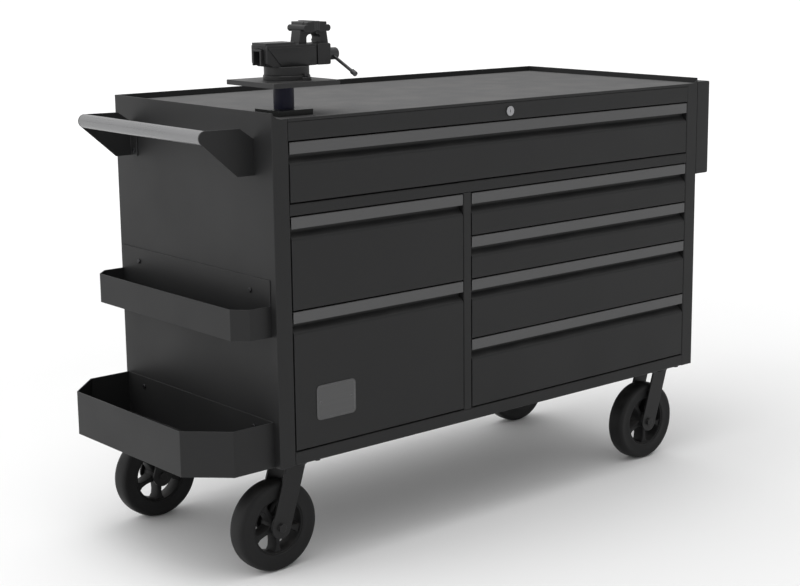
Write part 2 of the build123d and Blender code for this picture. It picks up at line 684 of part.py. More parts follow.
def caster_wheel(x, y):
    """Wheel core with blade spokes, and the tyre bonded round it."""
    axle = Plane(origin=(x - CASTER_TRAIL, y, WHEEL_RADIUS), z_dir=(0, 1, 0))
    half = WHEEL_WIDTH / 2
    rim_outer = WHEEL_RADIUS - TYRE_DEPTH
    rim_inner = rim_outer - RIM_DEPTH
    hub_half = LEG_INNER - HUB_SIDE_GAP
    tyre = extrude(axle * Circle(WHEEL_RADIUS), amount=half, both=True)
    tyre = fillet(tyre.edges(), TYRE_ROUND)
    tyre -= extrude(axle * Circle(rim_outer), amount=half + CUT_MARGIN, both=True)
    ring = Circle(rim_outer) - Circle(rim_inner)
    core = extrude(axle * ring, amount=half - RIM_INSET, both=True)
    core += extrude(axle * Circle(HUB_RADIUS), amount=hub_half, both=True)
    reach = (rim_outer + rim_inner) / 2
    for i in range(SPOKE_COUNT):
        turned = axle.rotated((0, 0, 360 / SPOKE_COUNT * i + SPOKE_START))
        core += turned * Pos(reach / 2, 0, 0) * Box(reach, SPOKE_THICKNESS, SPOKE_WIDTH)
    bore = Circle(AXLE_RADIUS + AXLE_FIT)
    core -= extrude(axle * bore, amount=hub_half + CUT_MARGIN, both=True)
    return group([core, tyre])


# ---------------------------------------------------------------- handle
def handle_axis():
    return (-HANDLE_REACH, DECK_Z - HANDLE_DROP)


def bracket_plate(y0):
    """Bracket web in x and z, with a round nose about the handle tube."""
    hx, hz = handle_axis()
    low = DECK_Z - BRACKET_BOTTOM_DROP
    shoulder = DECK_Z - BRACKET_SHOULDER_DROP
    outline = make_hull([
        *Circle(HANDLE_RADIUS).moved(Pos(hx, hz, 0)).edges(),
        Line((-BRACKET_SHOULDER_REACH, DECK_Z - BRACKET_TOP_DROP), (0, shoulder)),
        Line((0, shoulder), (0, low)),
        Line((0, low), (-BRACKET_FOOT, low)),
    ])
    plane = Plane(origin=(0, y0, 0), x_dir=(1, 0, 0), z_dir=(0, -1, 0))
    return extrude(plane * outline, amount=-BRACKET_SHEET)


def handle_brackets():
    """Two brackets whose mounting flanges face each other."""
    low, high = DECK_Z - BRACKET_BOTTOM_DROP, DECK_Z - BRACKET_SHOULDER_DROP
    front = BRACKET_INSET
    rear = CABINET_DEPTH - BRACKET_INSET
    ends = (
        (front, front, front + BRACKET_FLANGE),
        (rear - BRACKET_SHEET, rear - BRACKET_FLANGE, rear),
    )
    radius = SCREW_RADIUS + BOLT_CLEARANCE
    brackets = []
    for web, y0, y1 in ends:
        bracket = bracket_plate(web) + block(-BRACKET_SHEET, 0, y0, y1, low, high)
        for x, y, z in bracket_bolt_places():
            if y0 < y < y1:
                start = (x - CUT_MARGIN, y, z)
                bracket -= rod(start, (1, 0, 0), radius, BRACKET_SHEET + 2 * CUT_MARGIN)
        brackets.append(bracket)
    return group(brackets)


def handle_tube():
    """Round tube between the two brackets."""
    hx, hz = handle_axis()
    y0 = BRACKET_INSET + BRACKET_SHEET
    length = CABINET_DEPTH - 2 * y0
    tube = rod((hx, y0, hz), (0, 1, 0), HANDLE_RADIUS, length)
    start = (hx, y0 - CUT_MARGIN, hz)
    return tube - rod(start, (0, 1, 0), HANDLE_RADIUS - HANDLE_WALL, length + 2 * CUT_MARGIN)


# ---------------------------------------------------------------- side trays
def side_tray(reach, corner, rim, floor, back, screws):
    """Open tray with clipped outer corners and a back plate against the cabinet."""
    y0 = SIDE_TRAY_INSET
    y1 = CABINET_DEPTH - SIDE_TRAY_REAR_INSET
    low = BASE_Z + floor
    path = [
        (0, y1),
        (-reach + corner, y1),
        (-reach, y1 - corner),
        (-reach, y0 + corner),
        (-reach + corner, y0),
        (0, y0),
    ]
    points, radii = folded(path, SIDE_TRAY_SHEET, BEND)
    walls = plan_prism(points, radii, low, BASE_Z + rim)
    pan = plan_prism(path, [0, BEND, BEND, BEND, BEND, 0], low, low + SIDE_TRAY_SHEET)
    rear = block(-SIDE_TRAY_SHEET, 0, y0, y1, low, BASE_Z + back)
    tray = walls + pan + rear
    radius = SCREW_RADIUS + BOLT_CLEARANCE
    length = SIDE_TRAY_SHEET + 2 * CUT_MARGIN
    for y in tray_screw_ys():
        start = (-SIDE_TRAY_SHEET - CUT_MARGIN, y, BASE_Z + screws)
        tray -= rod(start, (1, 0, 0), radius, length)
    return tray


# ---------------------------------------------------------------- side box
def side_box():
    """Shallow box on the right side, open at the top, with the lid's hinge pin."""
    x0 = CABINET_WIDTH
    x1 = x0 + BOX_THICKNESS
    high = LIP_Z - BOX_DROP
    low = high - BOX_HEIGHT
    over = CUT_MARGIN
    shell = block(x0, x1, 0, BOX_DEPTH, low, high)
    shell = fillet(shell.edges().filter_by(Axis.Y).group_by(Axis.X)[-1], BOX_CORNER)
    shell -= block(x0 + SKIN, x1 - SKIN, SKIN, BOX_DEPTH - SKIN, low + SKIN, high + over)
    seat = high - LID_SHEET - LID_SEAT_GAP
    x, z = lid_axis()
    shell -= block(x, x1 + over, -over, BOX_DEPTH + over, seat, high + over)
    return shell + rod((x, SKIN / 2, z), (0, 1, 0), LID_PIN_RADIUS, BOX_DEPTH - SKIN)


def lid_axis():
    """Hinge axis of the side box's lid, in x and z."""
    x = CABINET_WIDTH + SKIN + LID_BARREL_RADIUS + LID_WALL_GAP
    return x, LIP_Z - BOX_DROP - LID_BARREL_RADIUS


def side_box_lid():
    """Flat lid with a rolled barrel round the hinge pin and a rounded outer edge."""
    x, z = lid_axis()
    x1 = CABINET_WIDTH + BOX_THICKNESS
    high = LIP_Z - BOX_DROP
    y0 = SKIN + LID_SEAT_GAP
    length = BOX_DEPTH - 2 * y0
    lid = block(x + LID_NOTCH, x1, 0, BOX_DEPTH, high - LID_SHEET, high)
    top_edges = lid.edges().filter_by(Axis.Y).group_by(Axis.Z)[-1]
    lid = fillet(top_edges.sort_by(Axis.X)[-1], LID_EDGE_ROUND)
    strip = block(x, x + LID_NOTCH, y0, y0 + length, high - LID_SHEET, high)
    barrel = rod((x, y0, z), (0, 1, 0), LID_BARREL_RADIUS, length)
    start = (x, y0 - CUT_MARGIN, z)
    hole = rod(start, (0, 1, 0), LID_PIN_RADIUS + AXLE_FIT, length + 2 * CUT_MARGIN)
    return lid + strip + barrel - hole


# ---------------------------------------------------------------- fasteners
def tray_screw_ys():
    """Screws near both ends of a side tray's back plate."""
    front = SIDE_TRAY_INSET + TRAY_SCREW_INSET
    rear = CABINET_DEPTH - SIDE_TRAY_REAR_INSET - TRAY_SCREW_INSET
    return front, rear


def bracket_bolt_places():
    """Bolts of the handle brackets, starting on the outside of their flanges."""
    middle = (BRACKET_SHEET + BRACKET_FLANGE) / 2
    ys = (BRACKET_INSET + middle, CABINET_DEPTH - BRACKET_INSET - middle)
    zs = (
        DECK_Z - BRACKET_BOTTOM_DROP + BRACKET_BOLT_RISE,
        DECK_Z - BRACKET_SHOULDER_DROP - BRACKET_BOLT_RISE,
    )
    return [(-BRACKET_SHEET, y, z) for y in ys for z in zs]


def side_screw(x, y, z, length):
    """Button-head screw driven towards +X; its head seats at x."""
    head = rod((x - SCREW_HEAD_HEIGHT, y, z), (1, 0, 0), SCREW_HEAD, SCREW_HEAD_HEIGHT)
    head = fillet(head.edges().group_by(Axis.X)[0], SCREW_HEAD_ROUND)
    return head + rod((x, y, z), (1, 0, 0), SCREW_RADIUS, length)


def hex_bolt(x, y, z, length):
    """Hexagon bolt driven upwards; its head seats at z."""
    head = extrude(RegularPolygon(CASTER_HEX, 6), amount=CASTER_HEX_HEIGHT)
    head = Pos(x, y, z - CASTER_HEX_HEIGHT) * head
    return head + rod((x, y, z), (0, 0, 1), CASTER_BOLT_RADIUS, length)


def cabinet_fasteners():
    """Every visible bolt and screw of the cabinet, its brackets and its trays."""
    under = BASE_Z - PLATE_THICKNESS
    grip = PLATE_THICKNESS + TRAY_SHEET
    parts = [hex_bolt(x, y, under, grip) for x, y in caster_bolt_places()]
    parts += [side_screw(x, y, z, BRACKET_SHEET) for x, y, z in bracket_bolt_places()]
    for tray in (UPPER_TRAY, LOWER_TRAY):
        for y in tray_screw_ys():
            z = BASE_Z + tray["screws"]
            parts.append(side_screw(-SIDE_TRAY_SHEET, y, z, SIDE_TRAY_SHEET))
    return group(parts)


# ---------------------------------------------------------------- vise
def vise_pedestal():
    """Square flange with a round post welded on it."""
    z0 = MAT_Z
    foot = (PEDESTAL_X, PEDESTAL_Y, z0 + FLANGE_THICKNESS)
    flange = extrude(Rectangle(FLANGE_SIDE, FLANGE_SIDE), amount=FLANGE_THICKNESS)
    flange = Pos(PEDESTAL_X, PEDESTAL_Y, z0) * flange
    post = rod(foot, (0, 0, 1), POST_RADIUS, POST_HEIGHT)
    return flange + post - rod(foot, (0, 0, 1), POST_RADIUS - POST_WALL, POST_HEIGHT)


def vise_mount_plate():
    """Square plate on the post, under the vise."""
    plate = extrude(Rectangle(TOP_PLATE_SIDE, TOP_PLATE_SIDE), amount=TOP_PLATE_THICKNESS)
    return Pos(PEDESTAL_X, PEDESTAL_Y, PLATE_Z - TOP_PLATE_THICKNESS) * plate


def vise_swivel_base():
    """Round base bolted to the plate, with two lugs and the pivot pin of the turntable."""
    base = rod((VISE_X, PEDESTAL_Y, PLATE_Z), (0, 0, 1), SWIVEL_RADIUS, SWIVEL_HEIGHT)
    base = fillet(base.edges().group_by(Axis.Z)[-1], SWIVEL_ROUND)
    for side in (-1, 1):
        foot = (VISE_X + LUG_AHEAD, PEDESTAL_Y + side * LUG_OUT, PLATE_Z)
        base += rod(foot, (0, 0, 1), LUG_RADIUS, LUG_HEIGHT)
    height = SWIVEL_HEIGHT + SWIVEL_PIN_RISE
    return base + rod((VISE_X, PEDESTAL_Y, PLATE_Z), (0, 0, 1), SWIVEL_PIN, height)


def bar_window(extra):
    """Half width, bottom and top of the moving jaw's slide bar, or of its passage."""
    half = BAR_WIDTH / 2 + extra
    low = SPINDLE_Z - BAR_HEIGHT / 2 - extra
    high = SPINDLE_Z + BAR_HEIGHT / 2 + extra
    return half, low, high


def vise_block(x0, x1, width, z0, z1):
    """A box centred across the vise."""
    return block(x0, x1, PEDESTAL_Y - width / 2, PEDESTAL_Y + width / 2, z0, z1)


def vise_body():
    """Round turntable, channel body with its anvil, spindle nut and the fixed jaw's arm."""
    z0 = PLATE_Z + SWIVEL_HEIGHT + TURN_GAP
    drum = rod((VISE_X, PEDESTAL_Y, z0), (0, 0, 1), TURNTABLE_RADIUS, BODY_LOW - z0)
    body = drum + vise_channel() + vise_anvil() + fixed_arm()
    half, low, high = bar_window(BAR_FIT)
    over = TOP_PLATE_SIDE
    body -= vise_block(BODY_TAIL_X - over, MEET_X + over, 2 * half, low, high)
    pin = rod((VISE_X, PEDESTAL_Y, z0), (0, 0, 1), SWIVEL_PIN + SWIVEL_FIT, SWIVEL_PIN_RISE)
    return body - pin + vise_nut()


def vise_channel():
    """Body of the vise before the slide bar's passage is cut."""
    tail, nose = BODY_TAIL_X, MEET_X - NOSE_GAP
    points = [
        (tail, BODY_LOW + BODY_CHAMFER_RISE),
        (tail + BODY_CHAMFER_LENGTH, BODY_LOW),
        (nose, BODY_LOW),
        (nose, BODY_HIGH),
        (tail, BODY_HIGH),
    ]
    half = BODY_WIDTH / 2
    return side_prism(points, [BODY_ROUND] * 5, PEDESTAL_Y - half, PEDESTAL_Y + half)


def vise_anvil():
    """Flat anvil on the body's rear half."""
    x0 = BODY_TAIL_X - ANVIL_OVERHANG
    low, high = BODY_HIGH - ANVIL_SEAT, BODY_HIGH + ANVIL_RISE
    anvil = vise_block(x0, x0 + ANVIL_LENGTH, ANVIL_WIDTH, low, high)
    return fillet(anvil.edges().filter_by(Axis.Z), ANVIL_CORNER)


def vise_nut():
    """Nut of the spindle, rooted in the body under the hollow slide bar."""
    half, low, _ = bar_window(BAR_FIT)
    x0 = BODY_TAIL_X + NUT_INSET
    x1 = x0 + NUT_LENGTH
    high = SPINDLE_Z + BAR_HEIGHT / 2 - BAR_ROOF - NUT_GAP
    width = BAR_WIDTH - 2 * (BAR_WALL + NUT_GAP)
    root = vise_block(x0, x1, 2 * (half + NUT_SPREAD), low - NUT_ROOT, low)
    nut = root + vise_block(x0, x1, width, low, high)
    start = (x0 - CUT_MARGIN, PEDESTAL_Y, SPINDLE_Z)
    return nut - rod(start, (1, 0, 0), SPINDLE_RADIUS + SPINDLE_FIT, NUT_LENGTH + 2 * CUT_MARGIN)


def fixed_arm():
    """Curved arm and head of the fixed jaw."""
    throat = MEET_X - JAW_THROAT
    back = throat - JAW_ARM_DEPTH
    face = MEET_X - INSERT_THICKNESS
    points = [
        (back - ARM_HEEL, BODY_HIGH - ARM_ROOT),
        (throat, BODY_HIGH - ARM_ROOT),
        (throat, JAW_LOW - JAW_NECK),
        (face, JAW_LOW - JAW_NECK),
        (face, JAW_HIGH),
        (MEET_X - JAW_DEPTH, JAW_HIGH),
        (back, JAW_LOW),
    ]
    radii = [0, 0, ARM_ROUND, JAW_ROUND, 0, JAW_ROUND, ARM_ROUND]
    half = JAW_ARM_WIDTH / 2
    arm = side_prism(points, radii, PEDESTAL_Y - half, PEDESTAL_Y + half)
    head = vise_block(MEET_X - JAW_DEPTH, face, JAW_WIDTH, JAW_LOW, JAW_HIGH)
    return arm + fillet(head.edges().group_by(Axis.X)[0], JAW_ROUND) + jaw_boss(-1)


def vise_jaw():
    """Moving jaw: head, arm, front block and the hollow slide bar behind it."""
    body = moving_arm() + moving_head() + moving_front() + slide_bar()
    start = (BODY_TAIL_X - BAR_TAIL, PEDESTAL_Y, SPINDLE_Z)
    length = JAW_FRONT_X + CUT_MARGIN - start[0]
    return body - rod(start, (1, 0, 0), SPINDLE_RADIUS + SPINDLE_FIT, length)


def moving_arm():
    """Arm of the moving jaw."""
    throat = MEET_X + JAW_THROAT
    front = throat + JAW_ARM_DEPTH
    face = MEET_X + INSERT_THICKNESS
    land = throat - ARM_LAND
    points = [
        (land, BODY_LOW),
        (front + FRONT_LAND, BODY_LOW),
        (JAW_FRONT_X, BODY_HIGH - ARM_ROOT),
        (front, JAW_LOW),
        (MEET_X + JAW_DEPTH, JAW_HIGH),
        (face, JAW_HIGH),
        (face, JAW_LOW - JAW_NECK),
        (throat, JAW_LOW - JAW_NECK),
        (throat, BODY_HIGH + FRONT_LAND),
        (land, BODY_HIGH),
    ]
    radii = [0, JAW_ROUND, JAW_ROUND, ARM_ROUND, JAW_ROUND, 0, JAW_ROUND, ARM_ROUND, JAW_ROUND, 0]
    half = JAW_ARM_WIDTH / 2
    return side_prism(points, radii, PEDESTAL_Y - half, PEDESTAL_Y + half)


def moving_head():
    """Head of the moving jaw, behind its insert."""
    face = MEET_X + INSERT_THICKNESS
    head = vise_block(face, MEET_X + JAW_DEPTH, JAW_WIDTH, JAW_LOW, JAW_HIGH)
    return fillet(head.edges().group_by(Axis.X)[-1], JAW_ROUND) + jaw_boss(1)


def jaw_boss(side):
    """Rounded boss along the back of one jaw's head."""
    start = (MEET_X + side * JAW_BOSS_OUT, PEDESTAL_Y - JAW_WIDTH / 2, JAW_HIGH - JAW_BOSS_DROP)
    return rod(start, (0, 1, 0), JAW_BOSS_RADIUS, JAW_WIDTH)


def moving_front():
    """Block in front of the body, as wide as the body."""
    heel = MEET_X + NOSE_GAP
    front = JAW_FRONT_X - ARM_HEEL + FRONT_LAND
    points = [(heel, BODY_LOW), (front, BODY_LOW), (front, BODY_HIGH), (heel, BODY_HIGH)]
    radii = [BODY_ROUND, JAW_ROUND, JAW_ROUND, BODY_ROUND]
    half = BODY_WIDTH / 2
    return side_prism(points, radii, PEDESTAL_Y - half, PEDESTAL_Y + half)


def slide_bar():
    """Square bar, open at the bottom and the rear, that runs through the body."""
    half, low, high = bar_window(0)
    tail = BODY_TAIL_X - BAR_TAIL
    end = MEET_X + JAW_THROAT
    bar = vise_block(tail, end, 2 * half, low, high)
    inside = 2 * (half - BAR_WALL)
    over = CUT_MARGIN
    return bar - vise_block(tail - over, end - BAR_END_WALL, inside, low - over, high - BAR_ROOF)


def jaw_insert(side):
    """Hardened plate on one jaw's face; side is -1 for the fixed jaw."""
    faces = sorted((MEET_X + side * INSERT_GAP / 2, MEET_X + side * INSERT_THICKNESS))
    return vise_block(*faces, JAW_WIDTH, JAW_HIGH - INSERT_HEIGHT, JAW_HIGH + INSERT_PROUD)


def vise_spindle():
    """Screw with a drilled head for the handle bar."""
    x0 = BODY_TAIL_X + SPINDLE_TAIL
    x1 = JAW_FRONT_X + COLLAR_GAP
    screw = rod((x0, PEDESTAL_Y, SPINDLE_Z), (1, 0, 0), SPINDLE_RADIUS, x1 - x0)
    head = rod((x1, PEDESTAL_Y, SPINDLE_Z), (1, 0, 0), SPINDLE_HEAD_RADIUS, SPINDLE_HEAD_LENGTH)
    head = fillet(head.edges().group_by(Axis.X)[-1], SPINDLE_HEAD_ROUND)
    reach = SPINDLE_HEAD_RADIUS + CUT_MARGIN
    hole = rod(bar_point(-reach), bar_direction(), VISE_BAR_RADIUS + BAR_HOLE_GAP, 2 * reach)
    return screw + head - hole


def bar_direction():
    """Unit vector along the handle bar, towards the front and down."""
    tilt = math.radians(VISE_BAR_TILT)
    return (0, -math.cos(tilt), -math.sin(tilt))


def bar_point(distance):
    """Point on the handle bar's axis, measured from the spindle's axis."""
    d = bar_direction()
    x = JAW_FRONT_X + COLLAR_GAP + SPINDLE_HEAD_LENGTH / 2
    return (x, PEDESTAL_Y + d[1] * distance, SPINDLE_Z + d[2] * distance)


def vise_bar():
    """Handle bar with a knob at each end."""
    start = VISE_BAR_SHIFT - VISE_BAR_LENGTH / 2
    end = start + VISE_BAR_LENGTH - VISE_BAR_KNOB_LENGTH
    bar = rod(bar_point(start), bar_direction(), VISE_BAR_RADIUS, VISE_BAR_LENGTH)
    for distance in (start, end):
        knob = rod(bar_point(distance), bar_direction(), VISE_BAR_KNOB, VISE_BAR_KNOB_LENGTH)
        bar += fillet(knob.edges(), VISE_BAR_KNOB_ROUND)
    return bar


# ---------------------------------------------------------------- assembly
def build_nodes():
    """Every node by name, measured from the cabinet's corner."""
    middle = CABINET_WIDTH / 2
    inside = (LINER_FACE, CABINET_WIDTH - STILE_WIDTH)
    nodes = {
        "side_panel_left": side_panel(),
        "side_panel_right": mirrored(side_panel(), middle),
        "side_liners": side_liners(),
        "back_panel": back_panel(),
        "base_pan": base_pan(),
        "worktop_tray": worktop_tray(),
        "worktop_mat": worktop_mat(),
        "header_rail": header_rail(),
        "mid_rail": rail(MID_RAIL_Z, MID_RAIL_Z + MID_RAIL_HEIGHT, *inside),
        "bottom_rail": rail(BASE_Z, BOTTOM_RAIL_Z, *inside),
        "centre_divider": centre_divider(),
        "caster_plates": caster_plates(),
        "cabinet_fasteners": cabinet_fasteners(),
        "handle_tube": handle_tube(),
        "handle_brackets": handle_brackets(),
        "upper_side_tray": side_tray(**UPPER_TRAY),
        "lower_side_tray": side_tray(**LOWER_TRAY),
        "side_box": side_box(),
        "side_box_lid": side_box_lid(),
        "lock_barrel": lock_barrel(),
        "vise_pedestal": vise_pedestal(),
        "vise_mount_plate": vise_mount_plate(),
        "vise_swivel_base": vise_swivel_base(),
        "vise_body": vise_body(),
        "vise_jaw": vise_jaw(),
        "vise_fixed_insert": jaw_insert(-1),
        "vise_moving_insert": jaw_insert(1),
        "vise_spindle": vise_spindle(),
        "vise_bar": vise_bar(),
    }
    fixed_members = []
    for name, (left, right, low, high) in drawer_layout().items():
        fixed, moving, _ = slide_members(left, right, low)
        fixed_members += fixed
        nodes[f"drawer_{name}"] = drawer(left, right, low, high)
        nodes[f"pull_{name}"] = pull(left, right, high)
        nodes[f"slide_{name}"] = group(moving)
    nodes["slide_fixed_members"] = group(fixed_members)
    for name, (x, y) in caster_places().items():
        nodes[f"fork_{name}"] = caster_fork(x, y)
        nodes[f"wheel_{name}"] = caster_wheel(x, y)
    return nodes


def origin_of(nodes):
    """Point on the floor under the middle of the outer box."""
    boxes = [shape.bounding_box() for shape in nodes.values()]
    x = min(box.min.X for box in boxes) + max(box.max.X for box in boxes)
    y = min(box.min.Y for box in boxes) + max(box.max.Y for box in boxes)
    return x / 2, y / 2


NODES = build_nodes()
ORIGIN_X, ORIGIN_Y = origin_of(NODES)
os.makedirs("parts", exist_ok=True)
for node_name, shape in NODES.items():
    export_step(Pos(-ORIGIN_X, -ORIGIN_Y, 0) * shape, f"parts/{node_name}.step")
print(f"{len(NODES)} nodes, origin at {ORIGIN_X:.3f}, {ORIGIN_Y:.3f} from the cabinet's corner")
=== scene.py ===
# %% [markdown]
# # A rolling tool chest
#
# The chest is a folded sheet-metal cabinet on four swivel casters.  It has seven drawers with
# full-width aluminium pulls, a rubber-topped worktop, a push handle, two open side trays, a
# lidded side box and a small bench vise on a pedestal.
#
# The measured model already gives every part its true size and place, so this lesson keeps
# those parts where they are and gives each one its finish.  Only the wheels are modelled
# afresh.  Two cheeks and two clamp nuts are added to the vise, and a blank badge to a drawer.

import json
import math

import bmesh
import bpy
from mathutils import Matrix, Vector


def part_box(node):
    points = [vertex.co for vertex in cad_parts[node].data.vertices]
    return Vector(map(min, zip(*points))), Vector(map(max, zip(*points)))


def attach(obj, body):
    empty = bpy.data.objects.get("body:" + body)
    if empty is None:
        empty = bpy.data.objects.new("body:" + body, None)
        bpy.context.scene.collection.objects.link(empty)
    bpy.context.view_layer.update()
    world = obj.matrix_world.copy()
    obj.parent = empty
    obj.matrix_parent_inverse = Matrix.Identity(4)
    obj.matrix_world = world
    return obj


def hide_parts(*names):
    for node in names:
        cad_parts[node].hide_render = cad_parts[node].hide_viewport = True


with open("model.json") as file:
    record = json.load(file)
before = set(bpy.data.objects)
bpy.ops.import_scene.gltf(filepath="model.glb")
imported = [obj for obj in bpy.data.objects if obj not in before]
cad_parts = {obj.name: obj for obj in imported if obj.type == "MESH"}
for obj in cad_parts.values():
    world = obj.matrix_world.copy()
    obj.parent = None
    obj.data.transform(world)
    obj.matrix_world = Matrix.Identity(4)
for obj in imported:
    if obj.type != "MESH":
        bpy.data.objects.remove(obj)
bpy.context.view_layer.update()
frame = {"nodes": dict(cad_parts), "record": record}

# %% [markdown]
# ## The camera
#
# The chest is seen from its front left corner, a little above the worktop.  A camera could be
# aimed with a Track To constraint, but its own three axes are easy to write down from a
# heading, a pitch and a small roll, and they stay exact.

# %% Place the camera
HEADING = math.radians(-42.0786)
PITCH = math.radians(11.1873)
ROLL = math.radians(-0.2191)
LENS = 73.403
LENS_SHIFT = (-0.0788, -0.0262)
CAMERA_PLACE = (-2.4984, -2.9848, 1.3105)
CLIP_END = 600.0

ahead = Vector(
    (-math.sin(HEADING) * math.cos(PITCH), math.cos(HEADING) * math.cos(PITCH), -math.sin(PITCH))
)
level = Vector((math.cos(HEADING), math.sin(HEADING), 0.0))
upward = level.cross(ahead)
right = level * math.cos(ROLL) + upward * math.sin(ROLL)
up = upward * math.cos(ROLL) - level * math.sin(ROLL)

camera = bpy.data.objects.new("Camera", bpy.data.cameras.new("Camera"))
axes = Matrix((right, up, -ahead)).transposed()
camera.matrix_world = Matrix.Translation(CAMERA_PLACE) @ axes.to_4x4()
camera.data.lens = LENS
camera.data.shift_x, camera.data.shift_y = LENS_SHIFT
camera.data.clip_end = CLIP_END
bpy.context.collection.objects.link(camera)
bpy.context.scene.camera = camera
print("camera at", tuple(round(v, 2) for v in camera.location), "lens", LENS)

# %% [markdown]
# ## Colour management
#
# The chest is nearly black against a nearly white floor.  The Standard view shows both ends
# as they are, where a filmic view would lift the blacks and grey the whites.

# %% Choose the view
bpy.context.scene.view_settings.view_transform = "Standard"
print("view", bpy.context.scene.view_settings.view_transform)

# %% [markdown]
# ## Node helpers
#
# Every finish below is a small tree of shader nodes.  These helpers add a node, set its
# inputs and link it, so that each finish reads as a short recipe.


# %% Add nodes and links
def add(tree, kind, place, **settings):
    """Adds a node, sets its attributes, and returns it."""
    node = tree.nodes.new(kind)
    node.location = place
    for name, value in settings.items():
        setattr(node, name, value)
    return node


def plug(tree, source, target):
    """Links an output socket to an input socket."""
    tree.links.new(source, target)


def math_node(tree, operation, place, first, second, clamp=False):
    """Arithmetic on two values; each is a socket or a number."""
    node = add(tree, "ShaderNodeMath", place, operation=operation, use_clamp=clamp)
    for socket, value in zip(node.inputs, (first, second)):
        if isinstance(value, (int, float)):
            socket.default_value = value
        else:
            plug(tree, value, socket)
    return node.outputs[0]


def ramp(tree, place, value, low, high, to_low=0.0, to_high=1.0):
    """Maps a value from one range to another and clamps it."""
    node = add(tree, "ShaderNodeMapRange", place)
    node.inputs["From Min"].default_value = low
    node.inputs["From Max"].default_value = high
    node.inputs["To Min"].default_value = to_low
    node.inputs["To Max"].default_value = to_high
    plug(tree, value, node.inputs["Value"])
    return node.outputs["Result"]


def blend_colour(tree, place, share, first, second):
    """Mixes two colours; each is a socket or an (r, g, b)."""
    node = add(tree, "ShaderNodeMix", place, data_type="RGBA")
    plug(tree, share, node.inputs["Factor"])
    for name, value in (("A", first), ("B", second)):
        socket = next(s for s in node.inputs if s.name == name and s.type == "RGBA")
        if isinstance(value, tuple):
            socket.default_value = (*value, 1.0)
        else:
            plug(tree, value, socket)
    return next(s for s in node.outputs if s.type == "RGBA")


print("node helpers ready")

# %% [markdown]
# ## Shared effects
#
# Three effects show on more than one finish, so each is a node group.  Folded sheet and cast
# iron never have knife edges: a Bevel node rounds the shading over the last millimetre or
# two, and where that rounded normal leaves the flat one there is an edge, which gets a painted
# highlight: a lighter colour broken up by noise.  Machined and extruded metal has long fine
# streaks, which are noise squeezed across the grain.  Dust settles only on faces that look up.


# %% Group: rounded edges and their painted highlight
def new_group(name, inputs, outputs):
    """A shader node group with float or vector sockets."""
    group = bpy.data.node_groups.new(name, "ShaderNodeTree")
    for label, kind, value in inputs:
        socket = group.interface.new_socket(label, in_out="INPUT", socket_type=kind)
        socket.default_value = value
    for label, kind in outputs:
        group.interface.new_socket(label, in_out="OUTPUT", socket_type=kind)
    ins = add(group, "NodeGroupInput", (-900, 0))
    outs = add(group, "NodeGroupOutput", (700, 0))
    return group, ins, outs


def make_edge_highlight_group():
    """Rounds the shading at edges and says where their painted highlight goes."""
    group, ins, outs = new_group(
        "rounded edges and painted highlight",
        [("Radius", "NodeSocketFloat", 0.0012), ("Breakup", "NodeSocketFloat", 60.0)],
        [("Normal", "NodeSocketVector"), ("Edge", "NodeSocketFloat")],
    )
    bevel = add(group, "ShaderNodeBevel", (-600, 200), samples=6)
    flat = add(group, "ShaderNodeNewGeometry", (-600, -60))
    dot = add(group, "ShaderNodeVectorMath", (-380, 60), operation="DOT_PRODUCT")
    place = add(group, "ShaderNodeTexCoord", (-900, -300))
    noise = add(group, "ShaderNodeTexNoise", (-600, -300))
    noise.inputs["Detail"].default_value = 4.0
    plug(group, ins.outputs["Radius"], bevel.inputs["Radius"])
    plug(group, bevel.outputs[0], dot.inputs[0])
    plug(group, flat.outputs["Normal"], dot.inputs[1])
    plug(group, place.outputs["Object"], noise.inputs["Vector"])
    plug(group, ins.outputs["Breakup"], noise.inputs["Scale"])
    # Painted highlight: the share of lighter colour where the rounded normal leaves the flat one.
    edge = ramp(group, (-160, 60), dot.outputs["Value"], 0.995, 0.86)
    broken = ramp(group, (-160, -240), noise.outputs["Fac"], 0.35, 0.65, 0.35, 1.0)
    plug(group, math_node(group, "MULTIPLY", (200, 0), edge, broken), outs.inputs["Edge"])
    plug(group, bevel.outputs[0], outs.inputs["Normal"])
    return group


EDGES = make_edge_highlight_group()
print("group", EDGES.name)


# %% Group: long fine streaks
def make_streak_group():
    """Noise drawn out along the grain, fine and broad together."""
    group, ins, outs = new_group(
        "drawn streaks",
        [("Squeeze", "NodeSocketVector", (1.0, 1.0, 1.0)), ("Scale", "NodeSocketFloat", 900.0)],
        [("Streak", "NodeSocketFloat")],
    )
    place = add(group, "ShaderNodeTexCoord", (-900, -200))
    squeeze = add(group, "ShaderNodeVectorMath", (-640, 0), operation="MULTIPLY")
    fine = add(group, "ShaderNodeTexNoise", (-380, 120))
    broad = add(group, "ShaderNodeTexNoise", (-380, -160))
    fine.inputs["Detail"].default_value = 3.0
    broad.inputs["Detail"].default_value = 2.0
    plug(group, place.outputs["Object"], squeeze.inputs[0])
    plug(group, ins.outputs["Squeeze"], squeeze.inputs[1])
    plug(group, squeeze.outputs[0], fine.inputs["Vector"])
    plug(group, squeeze.outputs[0], broad.inputs["Vector"])
    plug(group, ins.outputs["Scale"], fine.inputs["Scale"])
    broad_scale = math_node(group, "MULTIPLY", (-560, -260), ins.outputs["Scale"], 0.22)
    plug(group, broad_scale, broad.inputs["Scale"])
    mixed = math_node(group, "ADD", (-120, 0), fine.outputs["Fac"], broad.outputs["Fac"])
    plug(group, ramp(group, (140, 0), mixed, 0.6, 1.4), outs.inputs["Streak"])
    return group


STREAKS = make_streak_group()
print("group", STREAKS.name)


